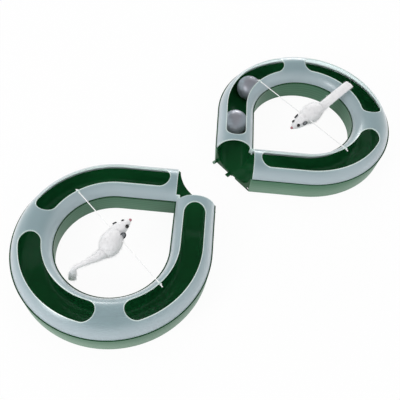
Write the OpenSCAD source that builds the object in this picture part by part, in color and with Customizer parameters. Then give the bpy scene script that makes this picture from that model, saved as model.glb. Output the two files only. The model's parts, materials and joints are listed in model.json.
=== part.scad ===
// Cat ball track: two teardrop loops that dock into a figure of eight, with two balls in
// the far loop and a furry mouse swinging on an elastic across each loop.
// Lengths are in millimetres, angles in degrees. The origin is on the table, midway
// between the loops, with +X from the near loop to the far one and +Z up.

/* [Loop plan] */
// Radius of the track's centre line round the open middle
track_r = 118; // [112:1:130]
// Distance between the two end faces as the loops lie
loop_gap = 81; // [40:1:160]

/* [Base] */
// Height of the base's rim above the table
rim_h = 34.5; // [33:0.5:37]
// How far the skirts lean in from the rim to the table
skirt_lean = 2.2; // [0.5:0.1:3]
// Thickness of the base's skirts and trough
base_wall = 2; // [1.6:0.1:2.2]
// Thickness of the web that closes the end face
end_web = 2.4; // [2:0.1:4]

/* [Trough] */
// Height of the trough's floor above the table
floor_z = 5.2; // [5:0.1:6]
// Width of the rim on each side of the trough
rim_w = 4; // [3.6:0.1:5]
// Radius of the trough's sides
side_r = 45; // [42:1:60]
// Radius of the fillet between the trough's floor and its sides
floor_fillet = 15; // [12:0.5:17]

/* [Cover] */
// Room from the top of a ball to the outside of the cover's crown
crown_room = 9.1; // [7:0.1:12]
// Thickness of the cover
cover_wall = 2; // [1.6:0.1:2.4]
// Width of the lip that stands outside the cover
lip_w = 1.6; // [1.2:0.1:2]
// Depth of the cover's seat below the rim
seat_depth = 4; // [3:0.5:5]
// Clearance between the lip and the cover
cover_gap = 0.2; // [0.1:0.05:0.4]
// Where each leg's cover stops, from the crossing's centre
cover_end = 31; // [30:0.5:34]
// Width of the neck that joins the cover's two legs at the inner corner
neck_w = 7; // [5:0.5:9]

/* [Paw slots] */
// Width of the dome left on each side of a slot, measured in plan
slot_margin = 13.7; // [12:0.1:16]
// Where the leg slots start, from the crossing's centre
slot_start = 43; // [40:1:50]
// Width of the bridge between two slots, along the track
bridge_w = 40; // [32:1:50]
// Angle of the two far bridges from the loop's tip
bridge_angle = 127; // [120:1:132]

/* [Docking] */
// Length of the docking pegs
peg_len = 7.5; // [5:0.5:9]
// Diameter of the round peg
peg_d = 5.6; // [5:0.1:6]
// Diameter of the hollow in the round peg
peg_bore_d = 2.6; // [2:0.1:3.4]
// Height of the round peg's centre above the table
peg_z = 3.7; // [3.5:0.1:4.5]
// Distance of the round peg's centre from the end face's lower corner
peg_edge = 4.1; // [3.5:0.1:6]
// Width of the flat tongue
tongue_w = 6.6; // [5:0.1:7]
// Thickness of the flat tongue
tongue_t = 2.2; // [1.8:0.1:2.4]
// Distance of the tongue from the loop's middle plane
tongue_side = 4.6; // [4.2:0.1:8]
// Height of the tongue's underside above the table
tongue_z = 0.4; // [0.3:0.1:0.6]
// Clearance round a peg or tongue in its socket
dock_gap = 0.35; // [0.3:0.05:0.5]

/* [Balls] */
// Diameter of a ball
ball_d = 44; // [40:1:48]
// Room beside a ball in the trough, on each side at the rim
ball_room = 6; // [5.5:0.1:8]
// Thickness of a ball's shell
ball_wall = 1.4; // [1:0.1:2]
// Height of the lap that joins a ball's halves
lap_h = 1.6; // [1:0.1:2.4]
// Radial clearance in the lap
lap_gap = 0.05; // [0.02:0.01:0.1]
// Running gap under a ball
ball_gap = 0.2; // [0.1:0.05:0.4]
// Where ball 1 lies, as an angle from the loop's tip
ball_1_angle = -81; // [-90:1:-76]
// Where ball 2 lies on the straight leg, from the crossing's centre
ball_2_along = 98; // [60:1:104]

/* [Elastic] */
// Diameter of the elastic
elastic_d = 1.6; // [1.2:0.1:2]
// Depth of the elastic below the cover's crown
elastic_depth = 7.5; // [6.5:0.5:8.5]
// Distance of the elastic from the loop's centre, towards its tip
elastic_x = 10; // [6:0.5:14]
// Clearance round the elastic in its holes
elastic_gap = 0.35; // [0.3:0.05:0.6]
// Diameter of an end knot
knot_d = 3.8; // [3.4:0.1:4.2]
// Length of the loose tail beyond a knot
loose_end = 4; // [3:0.5:5]

/* [Mice] */
// Length of a mouse's stuffed trunk behind the elastic
trunk_rear = 38; // [36:1:41]
// Length of the trunk ahead of the elastic
trunk_front = 12; // [11:1:15]
// Distance of the trunk's widest place behind the elastic
trunk_peak = 12; // [6:1:16]
// Largest radius of the trunk
trunk_r = 16.2; // [14:0.2:17.4]
// How far the trunk's axis hangs below the elastic
trunk_drop = 4; // [2:0.5:6]
// Length of the head's form, from the nose to its back inside the trunk
head_len = 40; // [36:1:42]
// Largest radius of the head
head_r = 10.8; // [9:0.2:11.6]
// Distance of the head's tip ahead of the elastic
nose_reach = 31.5; // [29:0.5:33]
// Distance from the head's tip back to the ears
ear_back = 20.5; // [18:0.5:23]
// Diameter of an ear
ear_d = 9; // [7:0.5:10]
// Thickness of an ear
ear_t = 1.4; // [1:0.1:2]
// Distance from the head's tip back to the eyes
eye_back = 9.5; // [8:0.5:14]
// Diameter of a bead eye
eye_d = 6.2; // [5:0.2:7]
// Diameter of the nose
nose_d = 4.8; // [4:0.2:6]

/* [Near mouse] */
// Distance of the mouse from the loop's middle plane
mouse_a_side = 4; // [0:0.5:8]
// Turn of its trunk from the loop's axis
mouse_a_turn = 20; // [10:1:28]
// Turn of its head back towards the axis
mouse_a_head_turn = 23; // [0:1:30]
// How far it raises its nose
mouse_a_head_rise = 20; // [0:1:24]
// Turn of its tail back towards the axis
tail_a_turn = 26; // [20:1:36]
// Width of its furry tail
tail_a_w = 11; // [8:0.5:14]
// Thickness of its tail
tail_a_t = 6.4; // [5:0.2:8]
// Room kept between the tail and the base as it swings past
tail_a_room = 10; // [10:0.5:20]
// Length of the tail that hangs down
tail_a_drop = 28; // [20:1:30]

/* [Far mouse] */
// Distance of the mouse from the loop's middle plane
mouse_b_side = 10; // [0:0.5:12]
// How far its nose dips
mouse_b_dip = 6; // [4:0.5:7]
// Width of its furry tail
tail_b_w = 15; // [10:0.5:18]
// Thickness of its tail
tail_b_t = 7; // [5:0.5:8]
// Length of the tail, whose end lies on the cover
tail_b_len = 85; // [80:1:90]
// Clearance between the furry tail and the cover
soft_gap = 0.4; // [0.3:0.1:0.6]

/* [Hidden] */
$fn = 96;

// One overrun for all cuts, and how far a chord may lie inside an arc that is given by points
over = 1;
chord_sag = 0.07;
// Half the angle between the two legs
leg_angle = 45;
// Plan
hub_x = track_r / cos(leg_angle);
loop_x = hub_x + loop_gap / 2;
// The ball sets the trough's width, and with its room the height of the crown
trough_half_w = ball_d / 2 + ball_room;
rim_half_w = trough_half_w + rim_w;
ball_z = floor_z + ball_gap + ball_d / 2;
crown_h = ball_z + ball_d / 2 + crown_room;
// Base: widths at the foot and at the cover's seat, and the space under the trough
foot_half_w = rim_half_w - skirt_lean;
seat_z = rim_h - seat_depth;
seat_half_w = rim_half_w - lip_w;
hollow_top = seat_z - base_wall;
// Along a leg, where the inner skirts meet and where the crossing's block starts
corner_along = foot_half_w - base_wall;
hub_along = cover_end + rim_half_w / 2;
// Trough: the sides' centres are level with the rim, beyond the centre line
side_c = trough_half_w - side_r;
fillet_z = floor_z + floor_fillet;
fillet_t = side_c + sqrt(pow(side_r - floor_fillet, 2) - pow(rim_h - fillet_z, 2));
fillet_angle = atan2(rim_h - fillet_z, fillet_t - side_c);
// Dome: one arc through the crown and both rims
cover_half_w = seat_half_w - cover_gap;
dome_c = (pow(crown_h, 2) - pow(rim_h, 2) - pow(cover_half_w, 2)) / (2 * (crown_h - rim_h));
dome_r = crown_h - dome_c;
// Slots: half their width, and the centres of their round ends, along a leg and round the loop
slot_half_w = cover_half_w - slot_margin;
slot_leg = slot_start + slot_half_w;
bridge_half_angle = (bridge_w / 2 + slot_half_w) / track_r * 180 / PI;
side_slot_angle = bridge_angle - bridge_half_angle;
far_slot_angle = bridge_angle + bridge_half_angle;
slot_end_steps = 16;
// Docking: the round peg's place on the end face
peg_side = foot_half_w / cos(leg_angle) - peg_edge;
// Elastic: its height, where it passes the dome's inner slope, and its knot behind the slot's edge
elastic_z = crown_h - elastic_depth;
slope_t = sqrt(pow(dome_r, 2) - pow(elastic_z - dome_c, 2));
knot_gap = 0.1;
knot_rho = track_r - slot_half_w + knot_d / 2 + knot_gap;
knot_y = sqrt(pow(knot_rho, 2) - pow(elastic_x, 2));
// Droop of the elastic's loose ends
loose_dip = 28;
// Steps along a tail's level stretch, round its bend in degrees, and down its drop
tail_steps = 5;
bend_step = 15;
drop_steps = 4;
// Mice: fullness of the trunk's two ends, and where the head turns on the trunk
rear_fullness = 2.1;
front_fullness = 2;
neck_x = trunk_front - head_r / 2;
// Largest value of the head's formula, where its slope is zero
head_peak_share = sqrt(pow(1 / 5, 1 / 4) * 4 / 5);
// Spread of the ears and the eyes from the top of the head, and the ears' lean
ear_spread = 64;
ear_lean = 62;
ear_splay = 18;
eye_spread = 56;
// Near mouse's tail: how far it stands out level before it hangs down
tail_a_reach = track_r - rim_half_w + elastic_x - trunk_rear - tail_a_room;
// Far mouse's tail: it starts inside the trunk and rises to lie on the dome at its end
tail_b_start = trunk_rear - tail_b_t;
tail_b_x = elastic_x - tail_b_start * cos(mouse_b_dip) - trunk_drop * sin(mouse_b_dip);
tail_b_z = elastic_z + tail_b_start * sin(mouse_b_dip) - trunk_drop * cos(mouse_b_dip);
tail_b_rho = norm([tail_b_x - tail_b_len, mouse_b_side]);
tail_b_end_z = dome_c + sqrt(pow(dome_r, 2) - pow(track_r - tail_b_rho, 2)) + soft_gap + tail_b_t / 2;
tail_b_rise = asin((tail_b_end_z - tail_b_z) / tail_b_len);
// Colours as the photograph shows them
green = [0.06, 0.24, 0.12];
frost = [0.70, 0.76, 0.78];
pearl = [0.62, 0.62, 0.64];
fur = [0.95, 0.95, 0.94];

// Section of the base's outside: x is the offset from the centre line, y the height
module envelope_2d() {
    polygon([[-rim_half_w, rim_h], [rim_half_w, rim_h], [foot_half_w, 0], [-foot_half_w, 0]]);
}

// Half width of the outside at a height
function outside_w(z) = foot_half_w + skirt_lean * z / rim_h;

// A point round a centre, and the points of an arc, each by radius and angle
function polar(r, a) = [r * cos(a), r * sin(a)];
function arc(c, r, from, to) = let (n = ceil(abs(to - from) / (2 * acos(1 - chord_sag / r))))
    [for (i = [0:n]) c + polar(r, from + (to - from) * i / n)];

// Trough outline, or the outer skin of the trough when skin is its thickness: on each side an
// arc down from the rim, then the fillet's arc, which starts where the first one ends
module trough_2d(skin) {
    fillet = arc([fillet_t, fillet_z], floor_fillet + skin, -fillet_angle, -90);
    side = concat([[trough_half_w + skin, rim_h + over]],
        arc([side_c, rim_h], side_r + skin, 0, -fillet_angle), [for (i = [1:len(fillet) - 1]) fillet[i]]);
    polygon(concat(side, [for (i = [len(side) - 1:-1:0]) [-side[i][0], side[i][1]]]));
}

// Space under the trough, open to the table, out to a half width on the inner side
module hollow_2d(inner_w) {
    difference() {
        polygon([[outside_w(-over) - base_wall, -over], [outside_w(hollow_top) - base_wall, hollow_top],
            [-inner_w - skirt_lean * hollow_top / rim_h, hollow_top], [-inner_w, -over]]);
        trough_2d(base_wall);
    }
}

// Base without its trough: with both skirts, and in the crossing without the inner one
module shell_2d() {
    difference() { envelope_2d(); hollow_2d(corner_along); }
}

module hub_2d() {
    difference() { envelope_2d(); hollow_2d(rim_half_w + over); }
}

// Whole section of the base, with its trough and the seat for the cover
module base_2d() {
    difference() {
        shell_2d();
        trough_2d(0);
        seat_2d();
    }
}

// Seat for the cover, cut between the lips
module seat_2d() {
    translate([-seat_half_w, seat_z]) square([2 * seat_half_w, seat_depth + over]);
}

// Section of the domed cover
module cover_2d() {
    difference() {
        intersection() {
            translate([0, dome_c]) circle(r = dome_r);
            translate([-cover_half_w, seat_z]) square([2 * cover_half_w, crown_h]);
        }
        intersection() {
            translate([0, dome_c]) circle(r = dome_r - cover_wall);
            translate([-cover_half_w + cover_wall, seat_z - over])
                square([2 * (cover_half_w - cover_wall), crown_h]);
        }
    }
}

// The part of that section that runs on round the inner corner
module neck_2d() {
    intersection() {
        cover_2d();
        translate([-rim_half_w, 0]) square([neck_w, crown_h]);
    }
}

// A section carried round the open middle
module round_part() {
    rotate([0, 0, leg_angle]) rotate_extrude(angle = 360 - 2 * leg_angle)
        translate([track_r, 0]) children();
}

// The same section carried along one straight leg, between two distances from the crossing's centre
module one_leg(far, near) {
    rotate([0, 0, leg_angle]) translate([track_r, far - track_r, 0]) rotate([90, 0, 0])
        linear_extrude(far - near) children();
}

// Both legs, or anything else that is alike on both sides of the loop's middle plane
module both() {
    for (m = [0, 1]) mirror([0, m, 0]) children();
}

// All that lies within a distance behind the end face
module behind_end(t) {
    translate([hub_x - t, -track_r, -over]) cube([t, 2 * track_r, rim_h + 2 * over]);
}

// One leg's trough through the crossing, and its seat for the cover and the cover's neck
module crossing_cuts() {
    one_leg(hub_along + over, -rim_half_w - over) trough_2d(0);
    one_leg(hub_along + over, cover_end - cover_gap) seat_2d();
    one_leg(cover_end, rim_half_w - neck_w - cover_gap)
        intersection() { seat_2d(); translate([-rim_half_w, 0]) square([neck_w, rim_h + over]); }
}

// The crossing: both legs cut off at the end face, closed by a web under the troughs
module crossing() {
    difference() {
        union() {
            both() intersection() {
                one_leg(hub_along, corner_along) shell_2d();
                behind_end(hub_x);
            }
            both() intersection() {
                one_leg(corner_along, -rim_half_w) hub_2d();
                behind_end(hub_x);
            }
            both() intersection() {
                one_leg(hub_along, -rim_half_w) envelope_2d();
                behind_end(end_web);
            }
        }
        crossing_cuts();
        mirror([0, 1, 0]) crossing_cuts();
        // Sockets for the other loop's peg and tongue
        translate([hub_x - end_web - over, peg_side, peg_z]) rotate([0, 90, 0])
            cylinder(d = peg_d + 2 * dock_gap, h = end_web + 2 * over);
        translate([hub_x - end_web - over, tongue_side - tongue_w / 2 - dock_gap, -over])
            cube([end_web + 2 * over, tongue_w + 2 * dock_gap, over + tongue_z + tongue_t + dock_gap]);
    }
}

module base() {
    round_part() base_2d();
    both() one_leg(track_r, hub_along) base_2d();
    crossing();
    // Round peg, hollow at its end
    translate([hub_x - end_web, -peg_side, peg_z]) rotate([0, 90, 0]) difference() {
        cylinder(d = peg_d, h = end_web + peg_len);
        translate([0, 0, end_web]) cylinder(d = peg_bore_d, h = peg_len + over);
    }
    // Flat tongue
    translate([hub_x - end_web, -tongue_side - tongue_w / 2, tongue_z])
        cube([end_web + peg_len, tongue_w, tongue_t]);
}

// Plan of a slot: its outer edge, a round end at to, its inner edge and a round end about start
module slot_2d(from, to, start) {
    polygon(concat(
        arc([0, 0], track_r + slot_half_w, from, to),
        [for (i = [1:slot_end_steps - 1])
            polar(track_r, to) + polar(slot_half_w, to + 180 * i / slot_end_steps)],
        arc([0, 0], track_r - slot_half_w, to, from),
        [for (i = [0:slot_end_steps]) start + polar(slot_half_w, from + 180 + 180 * i / slot_end_steps)]));
}

module cover() {
    difference() {
        union() {
            round_part() cover_2d();
            both() one_leg(track_r, cover_end) cover_2d();
            both() one_leg(cover_end, rim_half_w - neck_w) neck_2d();
        }
        // Side slots run from a leg round the loop, and the far slot lies between the far bridges
        both() translate([0, 0, seat_z]) linear_extrude(crown_h) slot_2d(leg_angle, side_slot_angle,
            [hub_x - slot_leg * cos(leg_angle), slot_leg * sin(leg_angle)]);
        translate([0, 0, seat_z]) linear_extrude(crown_h)
            slot_2d(far_slot_angle, 360 - far_slot_angle, polar(track_r, far_slot_angle));
        // Holes for the elastic through the dome's inner slope
        both() translate([elastic_x, track_r - slope_t, elastic_z]) rotate([90, 0, 0])
            cylinder(d = elastic_d + 2 * elastic_gap, h = slot_half_w, center = true);
    }
}

// Half a ball: the lower half carries the lap's inner ring, the upper half is recessed for it
module ball_half(up) {
    lap_r = ball_d / 2 - ball_wall / 2;
    difference() {
        sphere(d = ball_d);
        sphere(d = ball_d - 2 * ball_wall);
        translate([-ball_d, -ball_d, up ? -2 * ball_d : lap_h]) cube(2 * ball_d);
        if (up)
            cylinder(r = lap_r + lap_gap, h = lap_h + lap_gap);
        else
            difference() {
                cylinder(r = ball_d, h = ball_d);
                cylinder(r = lap_r, h = lap_h);
            }
    }
}

module ball_1_place() {
    rotate([0, 0, ball_1_angle]) translate([track_r, 0, ball_z]) children();
}

module ball_2_place() {
    translate([hub_x - ball_2_along * cos(leg_angle), -ball_2_along * sin(leg_angle), ball_z]) children();
}

// The taut elastic, its two knots inside the cover and the loose tails beyond them
module elastic() {
    translate([elastic_x, 0, elastic_z]) {
        rotate([90, 0, 0]) cylinder(d = elastic_d, h = 2 * knot_y, center = true);
        for (m = [0, 1])
            mirror([0, m, 0]) translate([0, knot_y, 0]) {
                sphere(d = knot_d);
                rotate([-90 - loose_dip, 0, 0]) cylinder(d = elastic_d, h = loose_end);
            }
    }
}

// Stuffed trunk along x: two quarters of a full ellipse turned about its long axis
module mouse_trunk() {
    steps = 14;
    rear = trunk_rear - trunk_peak;
    front = trunk_front + trunk_peak;
    rotate([0, 90, 0]) rotate_extrude()
        polygon(concat(
            [for (i = [0:steps]) let (a = 90 * i / steps)
                [trunk_r * pow(1 - pow(cos(a), rear_fullness), 1 / rear_fullness),
                    -trunk_peak - rear * cos(a)]],
            [for (i = [steps - 1:-1:0]) let (a = 90 * i / steps)
                [trunk_r * pow(1 - pow(cos(a), front_fullness), 1 / front_fullness),
                    -trunk_peak + front * cos(a)]]));
}

// Radius of the head at a distance behind its tip: an egg with its sharper end at the nose
function head_at(d) = let (u = d / head_len) head_r * sqrt(u * (1 - pow(u, 4))) / head_peak_share;

// Half outline of the head, its tip at the origin and its length along y
module head_2d() {
    steps = 20;
    polygon([for (i = [0:steps]) let (d = head_len * pow(sin(90 * i / steps), 2)) [head_at(d), -d]]);
}

module head_form() {
    rotate([0, 90, 0]) rotate_extrude() head_2d();
}

// The head turns sideways and dips about a point inside the trunk's front; its tip is the origin
module head_frame(turn, dip) {
    translate([neck_x, 0, 0]) rotate([0, dip, -turn]) translate([nose_reach - neck_x, 0, 0]) children();
}

module mouse_head(turn, dip) {
    difference() { head_frame(turn, dip) head_form(); mouse_trunk(); }
}

// A place on the head's surface: behind the tip and round from the top, with z outwards
module on_head(back, spread, out) {
    translate([-back, 0, 0]) rotate([-spread, 0, 0]) translate([0, 0, head_at(back) + out]) children();
}

module mouse_ears(turn, dip) {
    difference() {
        head_frame(turn, dip) both() on_head(ear_back, ear_spread, ear_d / 3)
            rotate([-ear_splay, ear_lean, 0]) cylinder(d = ear_d, h = ear_t, center = true);
        head_frame(turn, dip) head_form();
        mouse_trunk();
    }
}

module mouse_eyes(turn, dip) {
    difference() {
        head_frame(turn, dip) both() on_head(eye_back, eye_spread, -eye_d / 8) sphere(d = eye_d);
        head_frame(turn, dip) head_form();
        mouse_trunk();
    }
}

// Nose: a button on the head's tip, turned about the same axis
module mouse_nose(turn, dip) {
    head_frame(turn, dip) rotate([0, 90, 0]) rotate_extrude() difference() {
        intersection() {
            translate([0, nose_d / 8]) circle(d = nose_d);
            translate([0, -nose_d]) square(2 * nose_d);
        }
        head_2d();
    }
}

// Path of a tail: level towards -x, then a bend and a drop, each entry [x, z, slope, share of its size]
function tail_path(reach, bend, drop) = concat(
    [for (i = [0:tail_steps]) [-reach * i / tail_steps, 0, 0, tail_shares[i]]],
    bend > 0 ? [for (a = [bend_step:bend_step:90])
        [-reach - bend * sin(a), -bend * (1 - cos(a)), a, 1]] : [],
    drop > 0 ? [for (i = [1:drop_steps])
        [-reach - bend, -bend - drop * i / drop_steps, 90, i == drop_steps ? tip_share : 1]] : []);
tail_shares = [0.7, 0.85, 0.95, 1, 1, 1];
tip_share = 0.7;

// Oval tube carried along such a path
module tail_form(path, w, t) {
    sides = 12;
    n = len(path);
    points = [for (p = path) for (k = [0:sides - 1]) let (a = 360 * k / sides, out = p[3] * t / 2 * sin(a))
        [p[0] - out * sin(p[2]), p[3] * w / 2 * cos(a), p[1] + out * cos(p[2])]];
    walls = [for (i = [0:n - 2]) for (k = [0:sides - 1]) let (a = i * sides + k,
        b = i * sides + (k + 1) % sides) each [[a, b, a + sides], [b, b + sides, a + sides]]];
    last = (n - 1) * sides;
    ends = [for (k = [1:sides - 2]) each [[0, k + 1, k], [last, last + k, last + k + 1]]];
    polyhedron(points, concat(walls, ends), convexity = 4);
}

// A mouse's place in its loop: the origin is on the trunk's axis at the elastic, with +x to the nose
module near_place() {
    translate([elastic_x, mouse_a_side, elastic_z]) rotate([0, 0, mouse_a_turn])
        translate([0, 0, -trunk_drop]) children();
}

module far_place() {
    translate([elastic_x, mouse_b_side, elastic_z]) rotate([0, mouse_b_dip, 0])
        translate([0, 0, -trunk_drop]) children();
}

module near_tail() {
    translate([-trunk_rear + tail_a_t, 0, 0]) rotate([0, 0, -tail_a_turn])
        tail_form(tail_path(tail_a_reach, tail_a_t, tail_a_drop), tail_a_w, tail_a_t);
}

module far_tail() {
    translate([tail_b_x, mouse_b_side, tail_b_z]) rotate([0, tail_b_rise, 0])
        tail_form(tail_path(tail_b_len, 0, 0), tail_b_w, tail_b_t);
}

// The bore that the elastic runs through, across the loop
module elastic_bore() {
    translate([elastic_x, 0, elastic_z]) rotate([90, 0, 0])
        cylinder(d = elastic_d + 2 * elastic_gap, h = 2 * track_r, center = true);
}

module loop_a() { translate([-loop_x, 0, 0]) children(); }
module loop_b() { translate([loop_x, 0, 0]) rotate([0, 0, 180]) children(); }

module loop_a_base() { color(green) loop_a() base(); }
module loop_a_cover() { color(frost) loop_a() cover(); }
module loop_b_base() { color(green) loop_b() base(); }
module loop_b_cover() { color(frost) loop_b() cover(); }

module ball_1_lower() { color(pearl) loop_b() ball_1_place() ball_half(false); }
module ball_1_upper() { color(pearl) loop_b() ball_1_place() ball_half(true); }
module ball_2_lower() { color(pearl) loop_b() ball_2_place() ball_half(false); }
module ball_2_upper() { color(pearl) loop_b() ball_2_place() ball_half(true); }

module elastic_a() { color("white") loop_a() elastic(); }
module elastic_b() { color("white") loop_b() elastic(); }

module mouse_a_trunk() {
    color(fur) loop_a() difference() { near_place() mouse_trunk(); elastic_bore(); }
}
module mouse_a_head() {
    color(fur) loop_a() difference() {
        near_place() mouse_head(mouse_a_head_turn, -mouse_a_head_rise);
        elastic_bore();
    }
}
module mouse_a_ears() {
    color("dimgray") loop_a() near_place() mouse_ears(mouse_a_head_turn, -mouse_a_head_rise);
}
module mouse_a_eyes() {
    color("black") loop_a() near_place() mouse_eyes(mouse_a_head_turn, -mouse_a_head_rise);
}
module mouse_a_nose() {
    color("rosybrown") loop_a() near_place() mouse_nose(mouse_a_head_turn, -mouse_a_head_rise);
}
module mouse_a_tail() {
    color(fur) loop_a() near_place() difference() { near_tail(); mouse_trunk(); }
}

module mouse_b_trunk() {
    color(fur) loop_b() difference() { far_place() mouse_trunk(); elastic_bore(); }
}
module mouse_b_head() {
    color(fur) loop_b() difference() { far_place() mouse_head(0, 0); elastic_bore(); }
}
module mouse_b_ears() { color("dimgray") loop_b() far_place() mouse_ears(0, 0); }
module mouse_b_eyes() { color("black") loop_b() far_place() mouse_eyes(0, 0); }
module mouse_b_nose() { color("palevioletred") loop_b() far_place() mouse_nose(0, 0); }
module mouse_b_tail() {
    color(fur) loop_b() difference() { far_tail(); far_place() mouse_trunk(); }
}

loop_a_base();
loop_a_cover();
loop_b_base();
loop_b_cover();
ball_1_lower();
ball_1_upper();
ball_2_lower();
ball_2_upper();
elastic_a();
elastic_b();
mouse_a_trunk();
mouse_a_head();
mouse_a_ears();
mouse_a_eyes();
mouse_a_nose();
mouse_a_tail();
mouse_b_trunk();
mouse_b_head();
mouse_b_ears();
mouse_b_eyes();
mouse_b_nose();
mouse_b_tail();
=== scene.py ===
import json
import math

import bpy
import numpy as np
from mathutils import Matrix, Vector


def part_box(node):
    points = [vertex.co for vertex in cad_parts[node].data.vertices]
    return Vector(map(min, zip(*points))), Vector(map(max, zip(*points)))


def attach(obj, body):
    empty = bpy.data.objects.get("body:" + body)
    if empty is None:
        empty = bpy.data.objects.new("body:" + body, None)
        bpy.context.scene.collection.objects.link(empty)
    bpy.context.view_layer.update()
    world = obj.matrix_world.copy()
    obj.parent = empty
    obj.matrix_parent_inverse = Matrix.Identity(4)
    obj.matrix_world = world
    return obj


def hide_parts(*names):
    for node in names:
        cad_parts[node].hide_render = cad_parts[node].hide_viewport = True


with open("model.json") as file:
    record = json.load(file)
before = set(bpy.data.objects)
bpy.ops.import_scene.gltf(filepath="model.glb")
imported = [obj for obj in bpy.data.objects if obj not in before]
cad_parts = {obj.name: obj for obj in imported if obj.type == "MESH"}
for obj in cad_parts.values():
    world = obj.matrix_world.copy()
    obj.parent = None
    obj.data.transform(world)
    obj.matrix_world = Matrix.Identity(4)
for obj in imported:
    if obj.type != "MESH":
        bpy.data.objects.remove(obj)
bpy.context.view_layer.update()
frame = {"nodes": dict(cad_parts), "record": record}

scene = bpy.context.scene
mm = 0.001
print("frame loaded:", len(frame["nodes"]), "nodes")


# Colours are sRGB hex values; this turns one to the linear colour that the shader takes, by the formula
# of the sRGB standard
def linear(hexCode):
    parts = [int(hexCode[i:i + 2], 16) / 255 for i in (1, 3, 5)]
    return [p / 12.92 if p <= 0.04045 else ((p + 0.055) / 1.055) ** 2.4 for p in parts] + [1.0]


# Fills a node's sockets, each with a value or with a link from another node
def setSockets(tree, node, sockets):
    for name, value in sockets.items():
        if isinstance(value, bpy.types.NodeSocket):
            tree.links.new(value, node.inputs[name])
        else:
            node.inputs[name].default_value = value


# Adds a node, sets its properties and fills its sockets. By number, Map Range takes its value at 0, the
# range that it comes from at 1 and 2, and the one that it goes to at 3 and 4, which is 0 to 1 when left
# out. Mix takes its factor at 0, and two numbers at 2 and 3 or two colours at 6 and 7.
def addNode(tree, kind, sockets=None, **settings):
    node = tree.nodes.new(kind)
    for name, value in settings.items():
        setattr(node, name, value)
    setSockets(tree, node, sockets or {})
    return node


smooth = {"interpolation_type": "SMOOTHSTEP"}    # for a Map Range that eases in and out


# A material with a Principled shader that is already linked to its output
def newMaterial(name):
    material = bpy.data.materials.new(name)
    material.use_nodes = True
    tree = material.node_tree
    tree.nodes.clear()
    shader = addNode(tree, "ShaderNodeBsdfPrincipled")
    addNode(tree, "ShaderNodeOutputMaterial", {"Surface": shader.outputs[0]})
    return material, tree, shader


# Camera: where the photographer stood, with the lens and the small shift that the crop gives
cameraView = {
    "place": (-0.4184, -0.3682, 0.7560),
    "heading": 48.32,      # degrees from +X, seen from above
    "down": 55.28,         # degrees below the horizon
    "roll": 2.63,          # degrees about the line of sight
    "lens": 50.25,         # mm, on a sensor 36 mm wide
    "sensor": 36,
    "shift": (0.068, 0.0006),
}


def makeCamera(v):
    data = bpy.data.cameras.new("camera")
    data.lens = v["lens"]
    data.sensor_width = v["sensor"]
    data.shift_x, data.shift_y = v["shift"]
    camera = bpy.data.objects.new("camera", data)
    turn = Matrix.Rotation(math.radians(v["heading"] - 90), 4, "Z")
    tilt = Matrix.Rotation(math.radians(90 - v["down"]), 4, "X")
    roll = Matrix.Rotation(math.radians(v["roll"]), 4, "Z")
    camera.matrix_world = Matrix.Translation(v["place"]) @ turn @ tilt @ roll
    scene.collection.objects.link(camera)
    scene.camera = camera


makeCamera(cameraView)
print("camera placed")

# The loops' plan, from the frame: the round part's centre lies one outer radius from each far end
track = {"radius": 118 * mm, "halfWidth": 32 * mm, "rim": 34.5 * mm}
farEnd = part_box("loop_a_base")[0].x
loopX = -(farEnd + track["radius"] + track["halfWidth"])    # distance of each loop's centre from the origin


# Offset from the track's centre line at any point, as nodes on Object coordinates: both loops fold
# onto one quarter; beyond 45 degrees from the tip the track is round, and before that it is straight
def trackOffset(tree, place):
    split = addNode(tree, "ShaderNodeSeparateXYZ", {0: place})
    foldX = addNode(tree, "ShaderNodeMath", {0: split.outputs[0]}, operation="ABSOLUTE")
    x = addNode(tree, "ShaderNodeMath", {0: loopX, 1: foldX.outputs[0]}, operation="SUBTRACT")
    y = addNode(tree, "ShaderNodeMath", {0: split.outputs[1]}, operation="ABSOLUTE")
    flat = addNode(tree, "ShaderNodeCombineXYZ", {0: x.outputs[0], 1: y.outputs[0]})
    radius = addNode(tree, "ShaderNodeVectorMath", {0: flat.outputs[0]}, operation="LENGTH")
    legNormal = (math.sqrt(0.5), math.sqrt(0.5), 0)
    along = addNode(tree, "ShaderNodeVectorMath", {0: flat.outputs[0], 1: legNormal},
                    operation="DOT_PRODUCT")
    onLeg = addNode(tree, "ShaderNodeMath", {0: x.outputs[0], 1: y.outputs[0]}, operation="GREATER_THAN")
    reach = addNode(tree, "ShaderNodeMix", {0: onLeg.outputs[0], 2: radius.outputs["Value"],
                                            3: along.outputs["Value"]}, data_type="FLOAT")
    offset = addNode(tree, "ShaderNodeMath", {0: reach.outputs[0], 1: track["radius"]},
                     operation="SUBTRACT")
    return offset.outputs[0], split.outputs[2]


basePlastic = {
    "trough": "#114423",           # deep bottle green, where the cover keeps the light out
    "skirtTop": "#4d765d",         # the outside faces are spark eroded and matt; their paler colour is painted light, most of all towards the table, as the light reflected from below
    "skirtFoot": "#7a9784",        # most of all towards the table, where they catch the light from below
    "foot": 4,                     # mm up, where they are palest
    "innerFall": 0.25,             # share of that change on the side of the open middle
    "lip": "#124424",
    "lipFrom": (28.9, 29.4),       # mm from the track's centre line, where the trough becomes the lip
    "lipDown": (34.35, 34.1),      # mm up, where the lip becomes the skirt
    "innerLip": 1.6,               # mm that the polished lip reaches further down at the open middle
    "troughRoughness": 0.1,
    "skirtRoughness": 0.42,
    "ior": 1.49,
    "specular": 0.15,              # below the usual 0.5, to match the dark trough
    "cloud": 71.43,                # mm between slightly darker and lighter areas of the colour
    "cloudTone": (0.94, 1.05),
    "bandSpacing": 5.5,               # mm between faint lighter and darker bands round the walls
    "lineDepth": 0.05,
    "innerLineDepth": 0.07,        # added to that on the side of the open middle
    "erodedGrain": 0.5,            # mm; the real grain is 0.1 mm, and it is drawn coarser so that it shows
    "grainStrength": 0.25,
    "grainHeight": 0.1,            # mm
}
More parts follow.
